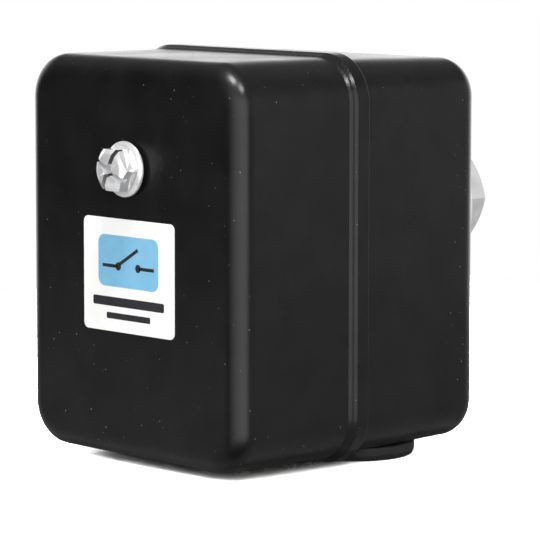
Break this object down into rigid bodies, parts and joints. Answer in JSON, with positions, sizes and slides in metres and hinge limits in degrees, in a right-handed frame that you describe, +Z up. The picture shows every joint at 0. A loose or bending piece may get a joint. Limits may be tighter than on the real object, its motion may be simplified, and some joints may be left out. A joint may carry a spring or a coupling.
{
  "type": "pressure switch motor starter",
  "caption": "Pressure-operated motor starter: black cover and box on two cable grommets, diaphragm and hex port behind, two-pole contact block, lever and springs inside.",
  "frame": {"origin": "bottom centre of the closed switch standing on its two grommets", "axes": "+X to the right seen from the cover, +Y from the cover to the pressure port, +Z up"},
  "size_m": [0.0794, 0.1165, 0.1001],
  "materials": {
    "black_shell": "semi-gloss black moulded shell",
    "label": null,
    "black_rubber": "matte black rubber",
    "bright_plated": "bright chrome plate",
    "phenolic": "glossy black phenolic moulding",
    "yellow_zinc": "yellow-passivated zinc plate",
    "nickel_plated": "nickel-plated steel",
    "brass": "brass strip",
    "spring_steel": "zinc-plated spring wire",
    "zinc_sheet": "bright zinc-plated sheet steel, lightly mottled"
  },
  "bodies": {
    "base": {"block_rivet_left": "nickel_plated", "block_rivet_right": "nickel_plated", "bracket_screw_1": "nickel_plated", "bracket_screw_2": "nickel_plated", "bridge_bracket": "zinc_sheet", "bridge_nut": "yellow_zinc", "carrier_pin": "nickel_plated", "contact_block": "phenolic", "diaphragm": "black_rubber", "diaphragm_ring": "bright_plated", "differential_seat": "zinc_sheet", "differential_spring": "spring_steel", "differential_stud": "nickel_plated", "flange_screw_1": "bright_plated", "flange_screw_2": "bright_plated", "flange_screw_3": "bright_plated", "flange_screw_4": "bright_plated", "frame_floor": "zinc_sheet", "front_plate": "zinc_sheet", "grommet_left": "black_rubber", "grommet_right": "black_rubber", "ground_screw": "nickel_plated", "housing": "black_shell", "lever_pin": "nickel_plated", "port_fitting": "bright_plated", "port_flange": "bright_plated", "range_seat": "zinc_sheet", "range_spring": "spring_steel", "range_stud": "nickel_plated", "side_plate_left": "zinc_sheet", "side_plate_right": "zinc_sheet", "snap_spring": "spring_steel", "terminal_1": "brass", "terminal_2": "brass", "terminal_3": "brass", "terminal_4": "brass", "terminal_screw_1": "nickel_plated", "terminal_screw_2": "nickel_plated", "terminal_screw_3": "nickel_plated", "terminal_screw_4": "nickel_plated", "wire_clamp_1": "nickel_plated", "wire_clamp_2": "nickel_plated", "wire_clamp_3": "nickel_plated", "wire_clamp_4": "nickel_plated"},
    "cover": {"cover": "black_shell", "label_plate": "label", "seal_washer": "black_rubber"},
    "cover_screw": {"cover_screw": "bright_plated"},
    "lever": {"lever": "zinc_sheet"},
    "plunger": {"plunger": "zinc_sheet"},
    "contact_carrier": {"contact_carrier": "phenolic", "moving_contact_1": "brass", "moving_contact_2": "brass"},
    "range_nut": {"range_nut": "yellow_zinc"},
    "differential_nut": {"differential_nut": "yellow_zinc"}
  },
  "joints": [
    {"name": "cover_lift", "type": "slide", "parent": "base", "child": "cover", "axis": [0, -1, 0], "range_m": [0, 0.07]},
    {"name": "cover_screw_turn", "type": "hinge", "parent": "cover", "child": "cover_screw", "pos_m": [0, -0.053, 0.0728], "axis": [0, -1, 0], "continuous": true},
    {"name": "lever_tilt", "type": "hinge", "parent": "base", "child": "lever", "pos_m": [0, 0.007, 0.049], "axis": [1, 0, 0], "range_deg": [0, 2.5], "stiffness_Nm_per_rad": 2, "springref_deg": -2.86, "deforming": ["range_spring", "differential_spring", "snap_spring"]},
    {"name": "plunger_push", "type": "slide", "parent": "base", "child": "plunger", "axis": [0, -1, 0], "range_m": [0, 0.0006]},
    {"name": "carrier_rock", "type": "hinge", "parent": "base", "child": "contact_carrier", "pos_m": [0, -0.017, 0.065], "axis": [1, 0, 0], "range_deg": [0, 5.2]},
    {"name": "range_nut_turn", "type": "hinge", "parent": "base", "child": "range_nut", "pos_m": [0.012, -0.0337, 0.088], "axis": [0, -1, 0], "continuous": true},
    {"name": "differential_nut_turn", "type": "hinge", "parent": "base", "child": "differential_nut", "pos_m": [0.026, -0.0287, 0.088], "axis": [0, -1, 0], "continuous": true}
  ],
  "couplings": [
    {"joint": "plunger_push", "follows": "lever_tilt", "m_per_rad": 0.0125},
    {"joint": "carrier_rock", "follows": "lever_tilt", "ratio": 2}
  ]
}
